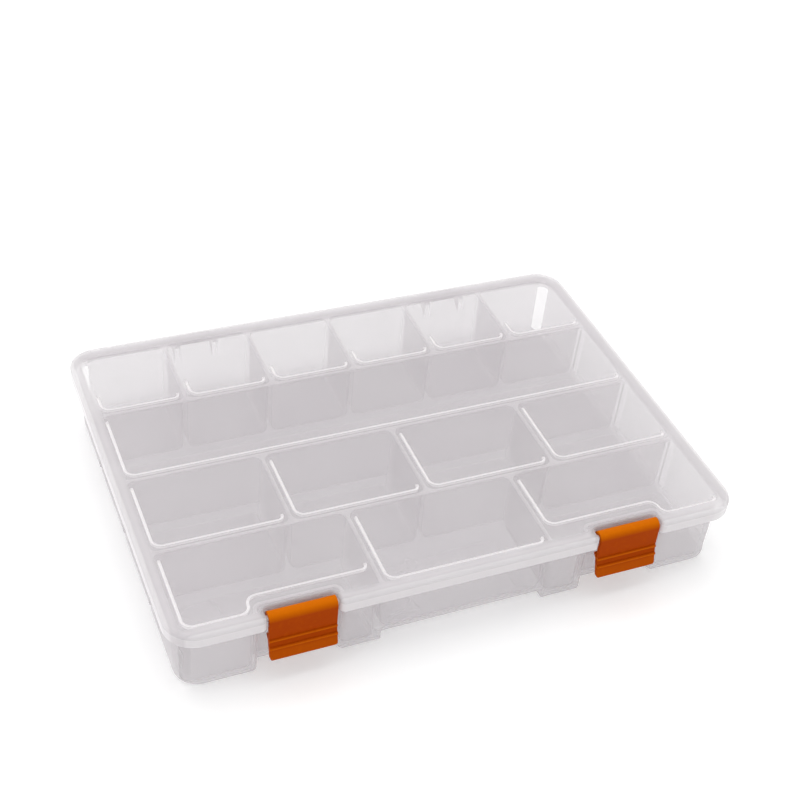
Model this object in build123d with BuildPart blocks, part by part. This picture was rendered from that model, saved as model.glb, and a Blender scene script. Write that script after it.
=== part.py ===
from build123d import *
from math import radians, tan
import os

# Shallow compartment storage box: a clear plastic tray moulded with its dividers, a clear
# lid that turns on two hinges at the back, and two coloured latches that turn on the lid's
# front edge and catch under ledges of the tray.
#
# Millimetres. The origin is the centre of the tray's underside. +X is to the right,
# +Y to the back and +Z up, so the latches are on the -Y side.

# Lid
lid_length = 273.0
lid_depth = 199.0
lid_corner = 14.0
lid_plate = 1.6
lid_skirt = 1.5
lid_drop = 6.2
lid_edge_round = 1.8
box_height = 37.0

# Tray walls and floor
lid_gap = 0.2
tray_inset = 4.2
tray_corner = 11.0
tray_wall = 1.5
tray_floor = 1.5
tray_base_round = 2.0
divider_wall = 1.5
draft = 1.0
pocket_corner = 3.4
pocket_round = 2.4

# Compartments, from the front row to the back row
front_row_depth = 47.0
third_row_depth = 45.6
long_row_depth = 46.4
latch_nook = 16.75
third_row_count = 4
back_row_count = 6
scoop_radius = 10.0

# Rim flange under the lid's skirt, and the shallow grooves outside each row divider
flange_height = 1.6
flange_drop = 3.0
flange_gap = 0.4
groove_width = 4.0
groove_depth = 1.2

# Latches, and the notches and recesses that they sit in
latch_end_inset = 58.0
latch_width = 30.5
latch_side_gap = 1.0
latch_wall = 1.7
latch_length = 21.0
latch_corner = 1.2
latch_flare = 2.5
latch_pin_radius = 1.3
latch_pin_inset = 4.0
pin_clearance = 0.1
hook_lip = 0.8
catch_depth = 9.6
catch_height = 2.4
catch_reach = 2.0
catch_tip = 0.6
ridge_radius = 0.8
upper_ridge = 11.2
lower_ridge = 15.2
notch_depth = 8.0
notch_round = 2.6
recess_side_gap = 0.75
recess_depth = 7.0
recess_round = 2.5
ledge_height = 1.8
ledge_gap = 0.8
ledge_clearance = 0.6
ledge_end_gap = 1.0

# Lid hinges
hinge_end_inset = 66.5
hinge_setback = 2.6
hinge_axis_drop = 1.3
hinge_pin_radius = 1.25
knuckle_length = 16.0
knuckle_wall = 1.05
knuckle_slot = 2.1
knuckle_bracket = 4.2
hinge_end_gap = 0.4
ear_width = 3.0
ear_radius = 2.2
ear_gusset = 6.0
ear_skirt_gap = 0.3

# Ribs under the lid plate
rib_width = 1.2
rib_height = 1.3
rib_gap = 2.4
rib_corner = 4.5
rib_end_gap = 4.2
short_rib_arm = 11.0
rib_curl = 3.2
rib_curl_radius = 2.6
rib_latch_gap = 4.4
rib_step_gap = 0.4

# Places that follow from the sizes above
skirt_bottom = box_height - lid_drop
rim_height = box_height - lid_plate - lid_gap
tray_length = lid_length - 2 * tray_inset
tray_depth = lid_depth - 2 * tray_inset
inner_right = tray_length / 2 - tray_wall
inner_front = -tray_depth / 2 + tray_wall
inner_back = tray_depth / 2 - tray_wall
third_row_front = inner_front + front_row_depth + divider_wall
long_row_front = third_row_front + third_row_depth + divider_wall
back_row_front = long_row_front + long_row_depth + divider_wall

lid_back = lid_depth / 2
lid_underside = box_height - lid_plate

hook_bore = latch_pin_radius + pin_clearance
hook_radius = hook_bore + latch_wall
latch_offset = lid_length / 2 - latch_end_inset
latch_axis_y = latch_pin_inset - lid_back
latch_axis_z = box_height - hook_radius
notch_width = latch_width + 2 * latch_side_gap
recess_width = notch_width + 2 * (lid_skirt + recess_side_gap)
recess_back = -tray_depth / 2 + recess_depth
front_divider = latch_offset - recess_width / 2 - tray_wall - latch_nook
front_centre_right = front_divider - divider_wall
catch_top = latch_axis_z - catch_depth
ledge_bottom = catch_top + ledge_gap
ledge_front = latch_axis_y - hook_bore + ledge_clearance

hinge_offset = lid_length / 2 - hinge_end_inset
hinge_axis_y = lid_back + hinge_setback
hinge_axis_z = skirt_bottom - hinge_axis_drop
knuckle_bore = hinge_pin_radius + pin_clearance
knuckle_radius = knuckle_bore + knuckle_wall
ear_top = skirt_bottom - ear_skirt_gap
ear_start = knuckle_length / 2 + hinge_end_gap

latch_places = (-latch_offset, latch_offset)
hinge_places = (-hinge_offset, hinge_offset)
divider_places = [front - divider_wall / 2 for front in (third_row_front, long_row_front, back_row_front)]


def column_walls(count):
    """Left and right faces of equal columns across the tray, at the rim."""
    width = (2 * inner_right - (count - 1) * divider_wall) / count
    lefts = [-inner_right + place * (width + divider_wall) for place in range(count)]
    return [(left, left + width) for left in lefts]


plain_pockets = [
    *[(left, right, third_row_front, third_row_front + third_row_depth)
      for left, right in column_walls(third_row_count)],
    (-inner_right, inner_right, long_row_front, long_row_front + long_row_depth),
    *[(left, right, back_row_front, inner_back) for left, right in column_walls(back_row_count)],
]


def wall_lean(height):
    """How far a drafted wall has come in at this height, from its place at the rim."""
    return (rim_height - height) * tan(radians(draft))


def make_pocket(left, right, front, back):
    """The space of one compartment, from the floor to just past the rim."""
    lean = 2 * wall_lean(tray_floor)
    with BuildPart() as space:
        with BuildSketch(Plane.XY.offset(tray_floor)):
            with Locations(((left + right) / 2, (front + back) / 2)):
                RectangleRounded(right - left - lean, back - front - lean, pocket_corner)
        extrude(amount=rim_height + 1 - tray_floor, taper=-draft)
    return space.part


def round_floor(space):
    """Round the foot of a pocket's walls into its floor."""
    with BuildPart() as rounded:
        add(space)
        fillet(rounded.edges().group_by(Axis.Z)[0], radius=pocket_round)
    return rounded.part


def front_corner_pocket(left, right):
    """A front pocket that steps back behind the latch recess."""
    latch_x = latch_offset if left > 0 else -latch_offset
    step_back = recess_back + tray_wall
    with BuildPart() as space:
        add(make_pocket(left, right, inner_front, inner_front + front_row_depth))
        with BuildSketch(Plane.XY):
            with Locations((latch_x, inner_front)):
                Rectangle(recess_width + 2 * tray_wall, 2 * (step_back - inner_front))
        extrude(amount=box_height + 1, mode=Mode.SUBTRACT)
        upright = space.edges().filter_by(lambda edge: edge.bounding_box().size.Z > rim_height - tray_floor)
        step_corners = upright.filter_by(
            lambda edge: abs(edge.center().X - latch_x) < recess_width / 2 + tray_wall + 0.1
        )
        fillet(step_corners.group_by(Axis.Y)[-1], radius=recess_round + tray_wall)
        fillet(step_corners.group_by(Axis.Y)[0], radius=pocket_corner)
    return round_floor(space.part)


def front_centre_pocket():
    """The front middle pocket, whose front wall sweeps into the floor."""
    with BuildPart() as space:
        add(make_pocket(-front_centre_right, front_centre_right, inner_front, inner_front + front_row_depth))
        foot = space.edges().group_by(Axis.Z)[0].sort_by(Axis.Y)
        fillet(foot[0], radius=scoop_radius - tray_wall)
    return space.part


def cut_scoop():
    """Cutter that sweeps the tray's front wall into its floor between the front dividers."""
    front = -tray_depth / 2 + wall_lean(0)
    top = front - wall_lean(0) + wall_lean(scoop_radius)
    with BuildPart() as cutter:
        with BuildSketch(Plane.YZ):
            with BuildLine():
                Polyline(
                    (front + scoop_radius, 0),
                    (front + scoop_radius, -1),
                    (top - 2, -1),
                    (top - 2, scoop_radius),
                    (top, scoop_radius),
                )
                RadiusArc((top, scoop_radius), (front + scoop_radius, 0), -scoop_radius * 1.02)
            make_face()
        extrude(amount=front_centre_right, both=True)
    return cutter.part


def tray_body():
    """The tray's outer body, solid, with the latch recesses and the scooped front."""
    lean = 2 * wall_lean(0)
    with BuildPart() as body:
        with BuildSketch(Plane.XY):
            RectangleRounded(tray_length - lean, tray_depth - lean, tray_corner)
        extrude(amount=rim_height, taper=-draft)
        with BuildSketch(Plane.XY):
            with Locations(*[(place, -tray_depth / 2) for place in latch_places]):
                Rectangle(recess_width, 2 * recess_depth)
        extrude(amount=rim_height, mode=Mode.SUBTRACT)
        upright = body.edges().filter_by(lambda edge: edge.bounding_box().size.Z > rim_height - 0.1)
        recess_edges = upright.filter_by(
            lambda edge: abs(abs(edge.center().X) - latch_offset) < recess_width / 2 + 0.1
        )
        fillet(recess_edges, radius=recess_round)
        fillet(body.edges().group_by(Axis.Z)[0], radius=tray_base_round)
        add(cut_scoop(), mode=Mode.SUBTRACT)
    return body.part


def rim_flange():
    """Flange round the tray under the lid's skirt, open where the latches sit."""
    room = 2 * (lid_skirt + flange_gap)
    with BuildPart() as flange:
        with BuildSketch(Plane.XY.offset(rim_height - flange_drop - flange_height)):
            RectangleRounded(lid_length - room, lid_depth - room, lid_corner - room / 2)
            with Locations(*[(place, -lid_back) for place in latch_places]):
                Rectangle(
                    recess_width + 2 * flange_gap,
                    2 * (recess_back + lid_back),
                    mode=Mode.SUBTRACT,
                )
        extrude(amount=flange_height)
    return flange.part


def groove_cutter(place):
    """Cutter for the shallow upright grooves outside one row divider, left and right."""
    top = rim_height - flange_drop - flange_height
    wall = tray_length / 2 - groove_depth
    with BuildPart() as cutter:
        with BuildSketch(Plane.XZ.offset(-place)):
            with BuildLine():
                Polyline(
                    (wall - wall_lean(-1), -1),
                    (wall - wall_lean(top), top),
                    (wall + 2 * groove_depth, top),
                    (wall + 2 * groove_depth, -1),
                    close=True,
                )
            make_face()
        extrude(amount=groove_width / 2, both=True)
        mirror(about=Plane.YZ)
    return cutter.part


def latch_ledges():
    """Shelf in each latch recess that the latch's catch holds."""
    wall_middle = recess_back + tray_wall / 2
    with BuildPart() as ledges:
        with BuildSketch(Plane.XY.offset(ledge_bottom)):
            with Locations(*[(place, (ledge_front + wall_middle) / 2) for place in latch_places]):
                Rectangle(latch_width - 2 * ledge_end_gap, wall_middle - ledge_front)
        extrude(amount=ledge_height)
    return ledges.part


def hinge_ears():
    """Pairs of ears on the tray's back wall, each pair with its pin."""
    wall_middle = (tray_depth - tray_wall) / 2 - wall_lean(ear_top - ear_gusset)
    with BuildPart() as ears:
        for place in hinge_places:
            for side in (-1, 1):
                with BuildSketch(Plane.YZ.offset(place + side * (ear_start + ear_width / 2))):
                    with Locations((hinge_axis_y, hinge_axis_z)):
                        Circle(ear_radius)
                    with BuildLine():
                        Polyline(
                            (wall_middle, ear_top),
                            (hinge_axis_y, ear_top),
                            (hinge_axis_y, hinge_axis_z - ear_radius),
                            (wall_middle, hinge_axis_z - ear_radius - ear_gusset),
                            close=True,
                        )
                    make_face()
                extrude(amount=ear_width / 2, both=True)
            with BuildSketch(Plane.YZ.offset(place)):
                with Locations((hinge_axis_y, hinge_axis_z)):
                    Circle(hinge_pin_radius)
            extrude(amount=ear_start + ear_width / 2, both=True)
    return ears.part


def lid_outline():
    """Outline of the lid, with a rounded notch for each latch."""
    with BuildSketch(Plane.XY.offset(skirt_bottom)) as outline:
        RectangleRounded(lid_length, lid_depth, lid_corner)
        with Locations(*[(place, -lid_back) for place in latch_places]):
            Rectangle(notch_width, 2 * notch_depth, mode=Mode.SUBTRACT)
        notch_corners = outline.vertices().filter_by(
            lambda vertex: abs(abs(vertex.X) - latch_offset) < notch_width / 2 + 0.1
        )
        fillet(notch_corners, radius=notch_round)
    return outline.sketch


def lid_shell():
    """Lid plate with its skirt, which also runs round the notches."""
    with BuildPart() as shell:
        add(lid_outline())
        extrude(amount=lid_drop)
        fillet(shell.edges().group_by(Axis.Z)[-1], radius=lid_edge_round)
        with BuildSketch(Plane.XY.offset(skirt_bottom)):
            add(offset(lid_outline(), amount=-lid_skirt, mode=Mode.PRIVATE))
        extrude(amount=lid_drop - lid_plate, mode=Mode.SUBTRACT)
    return shell.part


def latch_pins():
    """Pin across each notch for a latch to turn on."""
    with BuildPart() as pins:
        for place in latch_places:
            with BuildSketch(Plane.YZ.offset(place)):
                with Locations((latch_axis_y, latch_axis_z)):
                    Circle(latch_pin_radius)
            extrude(amount=(notch_width + lid_skirt) / 2, both=True)
    return pins.part


def hinge_knuckles():
    """Slotted knuckles on the lid's back skirt that snap over the tray's hinge pins."""
    skirt_middle = lid_back - lid_skirt / 2
    with BuildPart() as knuckles:
        for place in hinge_places:
            with BuildSketch(Plane.YZ.offset(place)):
                with BuildLine():
                    Polyline(
                        (skirt_middle, skirt_bottom),
                        (skirt_middle, skirt_bottom + knuckle_bracket),
                        (lid_back, skirt_bottom + knuckle_bracket),
                        (hinge_axis_y + knuckle_radius, hinge_axis_z),
                        (hinge_axis_y - knuckle_radius, hinge_axis_z),
                        close=True,
                    )
                make_face()
                with Locations((hinge_axis_y, hinge_axis_z)):
                    Circle(knuckle_radius)
                    Circle(knuckle_bore, mode=Mode.SUBTRACT)
                with Locations((hinge_axis_y + knuckle_radius, hinge_axis_z)):
                    Rectangle(2 * knuckle_radius, knuckle_slot, mode=Mode.SUBTRACT)
            extrude(amount=knuckle_length / 2, both=True)
    return knuckles.part


def extrude_rib(points, radii):
    """One rib, traced along a rounded path and grown down from inside the lid plate."""
    with BuildLine() as path:
        FilletPolyline(*points, radius=radii)
    with BuildPart() as rib:
        with BuildSketch(Plane.XY.offset(lid_underside + lid_plate / 2)):
            trace(path.line, line_width=rib_width)
        extrude(amount=-rib_height - lid_plate / 2)
    return rib.part


def plain_rib(left, right, front, arm_end):
    """Rib along a compartment's left and front sides, curled at its right end."""
    low_x = left + rib_gap
    high_x = right - rib_gap
    low_y = front + rib_gap
    points = [(low_x, arm_end), (low_x, low_y), (high_x, low_y), (high_x, low_y + rib_curl)]
    return extrude_rib(points, [rib_corner, rib_curl_radius])


def stepped_rib(left, right, arm_end):
    """Rib of a front corner compartment, stepping back behind the latch recess."""
    low_x = left + rib_gap
    high_x = right - rib_gap
    low_y = inner_front + rib_gap
    back_y = recess_back + tray_wall + rib_latch_gap
    step_x = latch_offset + recess_width / 2 + tray_wall + rib_width / 2 + rib_step_gap
    if left < 0:
        turns = [(low_x, low_y), (-step_x, low_y), (-step_x, back_y), (high_x, back_y)]
        radii = [rib_corner, rib_corner, rib_corner, rib_curl_radius]
        return extrude_rib([(low_x, arm_end), *turns, (high_x, back_y + rib_curl)], radii)
    turns = [(low_x, back_y), (step_x, back_y), (step_x, low_y), (high_x, low_y)]
    radii = [rib_corner, rib_corner, rib_corner, rib_curl_radius]
    return extrude_rib([(low_x, arm_end), *turns, (high_x, low_y + rib_curl)], radii)


def latch_outline():
    """Side outline of a latch, about its pin: hook, plate, catch, ridges and flared tab."""
    tab_face = -hook_radius - latch_flare
    lower_face = -hook_radius - latch_flare * (lower_ridge - upper_ridge) / (latch_length - upper_ridge)
    with BuildSketch() as outline:
        Circle(hook_radius)
        with BuildLine():
            Polyline(
                (-hook_radius, 0),
                (-hook_radius, -upper_ridge),
                (tab_face, -latch_length),
                (tab_face + latch_wall, -latch_length),
                (-hook_bore, -catch_depth - catch_height),
                (catch_reach - hook_bore, -catch_depth - catch_tip),
                (catch_reach - hook_bore, -catch_depth),
                (-hook_bore, -catch_depth),
                (-hook_bore, 0),
                close=True,
            )
        make_face()
        with Locations((-hook_radius, -upper_ridge), (lower_face, -lower_ridge)):
            Circle(ridge_radius)
        Circle(hook_bore, mode=Mode.SUBTRACT)
        with Locations((-hook_bore, -hook_radius)):
            Rectangle(
                hook_bore + hook_radius,
                hook_radius - hook_lip,
                align=Align.MIN,
                mode=Mode.SUBTRACT,
            )
    return outline.sketch


def make_latch(place):
    """One latch, closed, at its place along the lid's front."""
    pin_plane = Plane(origin=(place, latch_axis_y, latch_axis_z), x_dir=(0, 1, 0), z_dir=(1, 0, 0))
    with BuildPart() as latch:
        with BuildSketch(pin_plane):
            add(latch_outline())
        extrude(amount=latch_width / 2, both=True)
        low_corners = latch.edges().filter_by(Axis.Y).group_by(Axis.Z)[0]
        fillet(low_corners, radius=latch_corner)
    return latch.part


with BuildPart() as base_tray:
    add(tray_body())
    add(rim_flange())
    add(latch_ledges())
    add(hinge_ears())
    for place in divider_places:
        add(groove_cutter(place), mode=Mode.SUBTRACT)
    add(front_corner_pocket(-inner_right, -front_divider), mode=Mode.SUBTRACT)
    add(front_centre_pocket(), mode=Mode.SUBTRACT)
    add(front_corner_pocket(front_divider, inner_right), mode=Mode.SUBTRACT)
    for left, right, front, back in plain_pockets:
        add(round_floor(make_pocket(left, right, front, back)), mode=Mode.SUBTRACT)

with BuildPart() as lid:
    add(lid_shell())
    add(latch_pins())
    add(hinge_knuckles())
    for left, right, front, back in plain_pockets:
        short = back_row_front + rib_gap + short_rib_arm
        add(plain_rib(left, right, front, short if front == back_row_front else back - rib_end_gap))
    front_arm = third_row_front - divider_wall - rib_end_gap
    add(stepped_rib(-inner_right, -front_divider, front_arm))
    add(plain_rib(-front_centre_right, front_centre_right, inner_front, front_arm))
    add(stepped_rib(front_divider, inner_right, front_arm))

with BuildPart() as left_latch:
    add(make_latch(-latch_offset))

with BuildPart() as right_latch:
    add(make_latch(latch_offset))

os.makedirs("parts", exist_ok=True)
base_tray.part.label = "base_tray"
export_step(base_tray.part, "parts/base_tray.step")
lid.part.label = "lid"
export_step(lid.part, "parts/lid.step")
left_latch.part.label = "left_latch"
export_step(left_latch.part, "parts/left_latch.step")
right_latch.part.label = "right_latch"
export_step(right_latch.part, "parts/right_latch.step")
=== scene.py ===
from math import pi, radians

import bpy
import numpy as np
from mathutils import Matrix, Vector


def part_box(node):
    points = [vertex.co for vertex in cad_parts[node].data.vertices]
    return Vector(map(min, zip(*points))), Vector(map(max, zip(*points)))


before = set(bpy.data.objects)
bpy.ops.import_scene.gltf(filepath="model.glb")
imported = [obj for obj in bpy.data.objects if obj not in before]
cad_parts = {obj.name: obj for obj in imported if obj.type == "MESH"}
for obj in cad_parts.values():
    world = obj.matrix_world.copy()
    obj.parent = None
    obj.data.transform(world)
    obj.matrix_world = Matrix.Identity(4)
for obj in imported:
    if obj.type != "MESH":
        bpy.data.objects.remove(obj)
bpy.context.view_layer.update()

# Dressing of the compartment storage box: moulded plastic finishes for the tray, the lid
# and the two latches, a pale floor, soft studio light and the camera. Metres.

MM = 0.001

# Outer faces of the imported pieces, which the finishes are laid out from
TRAY_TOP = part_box("base_tray")[1].z
LID_LOW, LID_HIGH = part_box("lid")
LATCH_LOW, LATCH_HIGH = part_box("left_latch")
HALF_LENGTH = LID_HIGH.x
HALF_DEPTH = -LID_LOW.y
LATCH_MIDDLE = -(LATCH_LOW.x + LATCH_HIGH.x) / 2

# Sizes inside the pieces: the lid's plate and ribs, and the places of a latch's two grip
# ridges, measured down from its top
LID_PLATE = 1.6 * MM
RIB_HEIGHT = 1.3 * MM
UPPER_RIDGE = 14.3 * MM
LOWER_RIDGE = 18.3 * MM
# How far the painted highlight on each ridge reaches: none at the first distance, full at the second
RIDGE_HIGHLIGHT_FADE = (0.9 * MM, 0.2 * MM)

# Bands of the lid, as the distance in from its sides where each starts and where it is full
EDGE_BAND = (2.4 * MM, 1.6 * MM)
BORDER_BAND = (9 * MM, 4 * MM)
RIBLESS_BAND = (6.5 * MM, 6 * MM)
NOTCH_BAND = (12 * MM, 11 * MM)
NOTCH_HALF_WIDTH = (20.5 * MM, 19.5 * MM)

# Colours, as linear red, green, blue and alpha
MILK_DARK = (0.715, 0.681, 0.703, 1)
MILK_LIGHT = (0.725, 0.696, 0.712, 1)
# Near-white base colour of the painted highlight on the clear plastic's ribs, rims and edges
MILK_PAINTED_HIGHLIGHT = (0.96, 0.95, 0.955, 1)
# Emission colours of the painted glow on the same places: off, and on
NO_PAINTED_GLOW = (0, 0, 0, 1)
PAINTED_GLOW = (1, 0.98, 0.99, 1)
ORANGE_DARK = (0.37, 0.047, 0.0006, 1)
ORANGE_LIGHT = (0.41, 0.054, 0.0008, 1)
# Paler orange of the painted highlights on the latches, also used for their scuffs
ORANGE_HIGHLIGHT_AND_SCUFF = (0.66, 0.155, 0.0008, 1)
FLOOR_DARK = (0.95, 0.95, 0.95, 1)
FLOOR_LIGHT = (0.97, 0.97, 0.97, 1)
WHITE = (1, 1, 1, 1)

# Clear plastic: how opaque a wall is, and what is added where it is seen edge-on
TRAY_ALPHA = 0.23
LID_ALPHA = 0.24
EDGE_ON_ALPHA = 0.42
CLOUD_ALPHA = 0.05
MOST_ALPHA = 0.97

# Depth of the fine relief on all moulded faces
GRAIN_DEPTH = 0.03 * MM

FLOOR_WIDTH = 6.0
FLOOR_DROP = 0.2 * MM
WORLD_LIGHT = 0.72
CLEAR_LAYERS = 48

# Camera: its place, the way it looks (from +Y towards +X, then down), its roll, and its
# focal length and frame in pixels
CAMERA_PLACE = (-0.2286825, -0.4778820, 0.4924876)
CAMERA_HEADING = radians(25.8661)
CAMERA_DIP = radians(39.6172)
CAMERA_ROLL = radians(6.0122)
FOCAL_PIXELS = 1446.7
FRAME_PIXELS = 800
SENSOR_WIDTH = 36.0


class Tone:
    """One output of a finish's nodes, which shader maths is written with."""

    def __init__(self, finish, socket):
        self.finish = finish
        self.socket = socket

    def maths(self, operation, first, second=0.0, clamp=False):
        """A Math node on two tones or numbers."""
        settings = {"operation": operation, "use_clamp": clamp}
        return self.finish.node("ShaderNodeMath", settings, {0: first, 1: second})

    def __add__(self, other):
        return self.maths("ADD", self, other)

    __radd__ = __add__

    def __sub__(self, other):
        return self.maths("SUBTRACT", self, other)

    def __rsub__(self, other):
        return self.maths("SUBTRACT", other, self)

    def __mul__(self, other):
        return self.maths("MULTIPLY", self, other)

    __rmul__ = __mul__

    def __pow__(self, other):
        return self.maths("POWER", self, other)

    def __abs__(self):
        return self.maths("ABSOLUTE", self)

    def fade(self, start, end):
        """0 at start, 1 at end, straight between them and level outside."""
        return self.maths("MULTIPLY", self - start, 1.0 / (end - start), clamp=True)


class Finish:
    """One moulded finish: a material with a Principled shader and the nodes that feed it."""

    def __init__(self, name, **constants):
        self.material = bpy.data.materials.new(name)
        self.material.use_nodes = True
        self.tree = self.material.node_tree
        self.tree.nodes.clear()
        self.output = self.tree.nodes.new("ShaderNodeOutputMaterial")
        self.shader = self.tree.nodes.new("ShaderNodeBsdfPrincipled")
        self.tree.links.new(self.shader.outputs[0], self.output.inputs["Surface"])
        for socket, value in constants.items():
            self.shader.inputs[socket.replace("_", " ")].default_value = value
        self.place = self.node("ShaderNodeTexCoord", {}, {}, "Object")

    def node(self, kind, settings, inputs, output=0):
        """Any node: its settings first, then the values or links of its sockets."""
        node = self.tree.nodes.new(kind)
        for name, value in settings.items():
            setattr(node, name, value)
        for socket, value in inputs.items():
            if isinstance(value, Tone):
                self.tree.links.new(value.socket, node.inputs[socket])
            else:
                node.inputs[socket].default_value = value
        return Tone(self, node.outputs[output])

    def axis(self, name):
        """Place along X, Y or Z in metres."""
        return self.node("ShaderNodeSeparateXYZ", {}, {0: self.place}, name)

    def noise(self, size, detail=2.0, stretch=(1, 1, 1)):
        """Smooth noise from 0 to 1 with features of this size in metres."""
        scaled = self.node("ShaderNodeVectorMath", {"operation": "MULTIPLY"}, {0: self.place, 1: stretch})
        return self.node("ShaderNodeTexNoise", {}, {"Vector": scaled, "Scale": 1 / size, "Detail": detail})

    def blend(self, share, first, second):
        """Colour between two colours, by share."""
        return self.node("ShaderNodeMix", {"data_type": "RGBA"}, {0: share, 6: first, 7: second}, 2)

    def feed(self, **sockets):
        """Link tones to the shader's sockets, named with _ for a space."""
        for socket, value in sockets.items():
            self.tree.links.new(value.socket, self.shader.inputs[socket.replace("_", " ")])

    def grain(self, height):
        """Surface relief, as deep as GRAIN_DEPTH for a height of 1."""
        settings = {"Strength": 1.0, "Distance": GRAIN_DEPTH, "Height": height}
        self.feed(Normal=self.node("ShaderNodeBump", {}, settings))


def clear_plastic(name, body_alpha, thick_and_highlight):
    """Translucent moulded plastic: thin walls look clear, edges and thick places look milky; ribs, rims
    and edges also get a painted highlight and a painted glow.
    """
    # The emission is a painted glow, laid where the painted highlight share is
    finish = Finish(name, IOR=1.49, Specular_IOR_Level=0.3, Emission_Strength=0.16)
    facing = finish.node("ShaderNodeLayerWeight", {}, {"Blend": 0.35}, "Facing")
    cloud = finish.noise(45 * MM)
    flow = finish.noise(6 * MM, stretch=(1, 0.12, 1))
    thick, painted_highlight = thick_and_highlight(finish)
    alpha = body_alpha + EDGE_ON_ALPHA * facing**2.0 + thick + CLOUD_ALPHA * (cloud - 0.5)
    milk = finish.blend(cloud.fade(0.35, 0.65), MILK_DARK, MILK_LIGHT)
    # Base colour goes near white, and the emission paints a glow, where the painted highlight share is
    finish.feed(
        Base_Color=finish.blend(painted_highlight, milk, MILK_PAINTED_HIGHLIGHT),
        Alpha=alpha.maths("MINIMUM", alpha, MOST_ALPHA),
        Roughness=0.30 + 0.14 * flow,
        Emission_Color=finish.blend(painted_highlight, NO_PAINTED_GLOW, PAINTED_GLOW),
    )
    finish.grain(0.15 * finish.noise(1.1 * MM) + 2.0 * finish.noise(12 * MM))
    return finish.material


def tray_bands(finish):
    """Milky tray along the wall tops and where the walls meet the floor; painted highlight and glow on the
    wall tops.
    """
    height = finish.axis("Z")
    rim = height.fade(TRAY_TOP - 0.9 * MM, TRAY_TOP - 0.1 * MM)
    foot = 1.0 - height.fade(1.6 * MM, 5.0 * MM)
    thick = 0.30 * rim + 0.08 * foot
    # The second share is the painted highlight and glow along the wall tops
    return thick, 0.3 * rim


def side_band(out_x, out_y, start, full):
    """1 along the lid's four sides and 0 further in, by the distances from its sides."""
    from_ends = out_x.fade(HALF_LENGTH - start, HALF_LENGTH - full)
    from_front = out_y.fade(HALF_DEPTH - start, HALF_DEPTH - full)
    return from_ends.maths("MAXIMUM", from_ends, from_front)


def lid_bands(finish):
    """Milky lid on its skirt, border and rounded edge; painted highlight and glow there and on the ribs,
    which show as white lines.
    """
    height = finish.axis("Z")
    out_x = abs(finish.axis("X"))
    out_y = abs(finish.axis("Y"))
    edge = side_band(out_x, out_y, *EDGE_BAND)
    border = side_band(out_x, out_y, *BORDER_BAND)
    plate_foot = LID_HIGH.z - LID_PLATE
    rib_foot = plate_foot - RIB_HEIGHT
    under = 1.0 - height.fade(plate_foot - 0.2 * MM, plate_foot - 0.05 * MM)
    above_rib_foot = height.fade(rib_foot - 0.5 * MM, rib_foot - 0.1 * MM)
    beside_latch = abs(out_x - LATCH_MIDDLE).fade(*NOTCH_HALF_WIDTH)
    notch = beside_latch * out_y.fade(HALF_DEPTH - NOTCH_BAND[0], HALF_DEPTH - NOTCH_BAND[1])
    ribbed = (1.0 - side_band(out_x, out_y, *RIBLESS_BAND)) * (1.0 - notch)
    rib = under * above_rib_foot * ribbed
    thick = 0.55 * rib + 0.1 * border + 0.12 * under + 0.12 * edge
    # The second share is the painted highlight and glow: strongest on the ribs, weaker on the rounded edge
    # and border
    return thick, 0.8 * rib + 0.12 * border + 0.22 * edge


def latch_plastic(name):
    """Satin orange moulding, with painted highlights on its rounded top, ridges and lower tab, and a fine
    scuff.
    """
    finish = Finish(name, IOR=1.46, Specular_IOR_Level=0.02)
    below_top = LATCH_HIGH.z - finish.axis("Z")
    cloud = finish.noise(12 * MM)
    # Painted highlights on the rounded top, the two ridges and the lower tab, where light from above falls
    top = below_top.fade(3.4 * MM, 0.4 * MM)
    upper = abs(below_top - UPPER_RIDGE).fade(*RIDGE_HIGHLIGHT_FADE)
    lower = abs(below_top - LOWER_RIDGE).fade(*RIDGE_HIGHLIGHT_FADE)
    tab = below_top.fade(LOWER_RIDGE, LOWER_RIDGE + 2 * MM)
    scuff = finish.noise(2.2 * MM, 4.0).fade(0.52, 0.72)
    # The scuffs are the latch's own wear; the rest of this share is painted highlight
    highlight_and_scuff = 0.85 * top + 0.5 * (upper + lower) + 0.25 * tab + 0.08 * scuff
    body = finish.blend(cloud, ORANGE_DARK, ORANGE_LIGHT)
    finish.feed(
        Base_Color=finish.blend(highlight_and_scuff, body, ORANGE_HIGHLIGHT_AND_SCUFF),
        Roughness=0.42 + 0.14 * scuff + 0.06 * cloud,
    )
    finish.grain(finish.noise(0.7 * MM) + 0.6 * finish.noise(3 * MM))
    return finish.material


def set_finish(node, material):
    """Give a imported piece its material."""
    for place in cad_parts[node].material_slots:
        place.material = material


def grid_surface(name, across, along, shape):
    """Mesh of a function of two parameters: shape(u, v) gives the point at each grid place."""
    u, v = np.meshgrid(np.linspace(0, 1, across), np.linspace(0, 1, along))
    points = np.stack(shape(u.ravel(), v.ravel()), axis=1)
    corner = (np.arange(along - 1)[:, None] * across + np.arange(across - 1)).ravel()
    faces = np.stack([corner, corner + 1, corner + across + 1, corner + across], axis=1)
    mesh = bpy.data.meshes.new(name)
    mesh.from_pydata(points.tolist(), [], faces.tolist())
    mesh.shade_smooth()
    surface = bpy.data.objects.new(name, mesh)
    bpy.context.scene.collection.objects.link(surface)
    return surface


def floor_point(u, v):
    """Flat square about the origin: x and y run evenly, and z is level just under the box."""
    return FLOOR_WIDTH * (u - 0.5), FLOOR_WIDTH * (v - 0.5), 0 * u - FLOOR_DROP


def floor_sheet():
    """Pale matt floor, with a little glow for the white ground of a studio."""
    finish = Finish("pale_floor", Roughness=0.9, Specular_IOR_Level=0.1, Emission_Strength=0.12)
    tint = finish.blend(finish.noise(400 * MM), FLOOR_DARK, FLOOR_LIGHT)
    finish.feed(Base_Color=tint, Emission_Color=tint)
    floor = grid_surface("floor", 2, 2, floor_point)
    floor.data.materials.append(finish.material)


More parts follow.
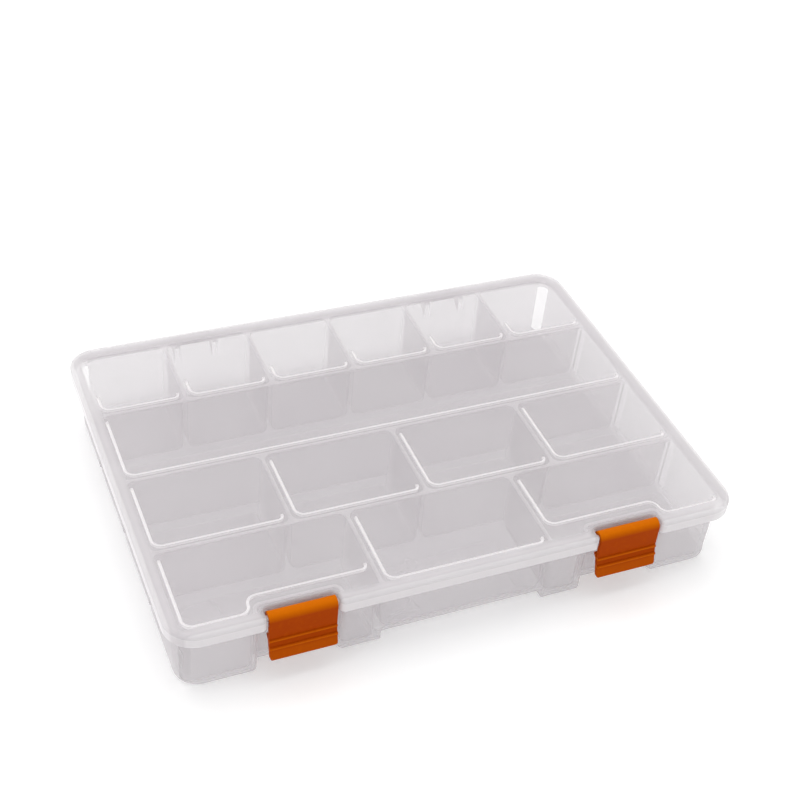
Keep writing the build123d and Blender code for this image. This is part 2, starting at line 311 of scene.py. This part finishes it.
def soft_light(name, place, size, power, tilt):
    """Rectangular soft box: its place and size in metres, power in watts, tilt in radians."""
    light = bpy.data.lights.new(name, "AREA")
    light.shape = "RECTANGLE"
    light.size, light.size_y = size
    light.energy = power
    lamp = bpy.data.objects.new(name, light)
    lamp.location = place
    lamp.rotation_euler = tilt
    bpy.context.scene.collection.objects.link(lamp)


def studio_light():
    """White surroundings, a wide soft box overhead and a weaker one from the left."""
    scene = bpy.context.scene
    world = bpy.data.worlds.new("studio")
    world.use_nodes = True
    background = world.node_tree.nodes["Background"]
    background.inputs["Color"].default_value = WHITE
    background.inputs["Strength"].default_value = WORLD_LIGHT
    scene.world = world
    soft_light("overhead", place=(0.1, 0.35, 1.3), size=(1.6, 1.2), power=9.0, tilt=(-0.25, 0, 0))
    soft_light("left_side", place=(-1.3, 0.1, 0.7), size=(0.9, 0.9), power=2.5, tilt=(0, -1.1, 0))
    scene.view_settings.view_transform = "Standard"
    scene.cycles.transparent_max_bounces = CLEAR_LAYERS


def product_camera():
    """Camera at the photograph's place: rolled first, then raised from straight down, then turned."""
    lens = bpy.data.cameras.new("camera")
    lens.sensor_width = SENSOR_WIDTH
    lens.lens = FOCAL_PIXELS / FRAME_PIXELS * SENSOR_WIDTH
    lens.clip_start = 10 * MM
    camera = bpy.data.objects.new("camera", lens)
    rolled = Matrix.Rotation(CAMERA_ROLL, 4, "Z")
    raised = Matrix.Rotation(pi / 2 - CAMERA_DIP, 4, "X")
    turned = Matrix.Rotation(-CAMERA_HEADING, 4, "Z")
    camera.matrix_world = Matrix.Translation(CAMERA_PLACE) @ turned @ raised @ rolled
    bpy.context.scene.collection.objects.link(camera)
    bpy.context.scene.camera = camera


set_finish("base_tray", clear_plastic("tray_plastic", TRAY_ALPHA, tray_bands))
set_finish("lid", clear_plastic("lid_plastic", LID_ALPHA, lid_bands))
orange = latch_plastic("orange_plastic")
set_finish("left_latch", orange)
set_finish("right_latch", orange)
floor_sheet()
studio_light()
product_camera()
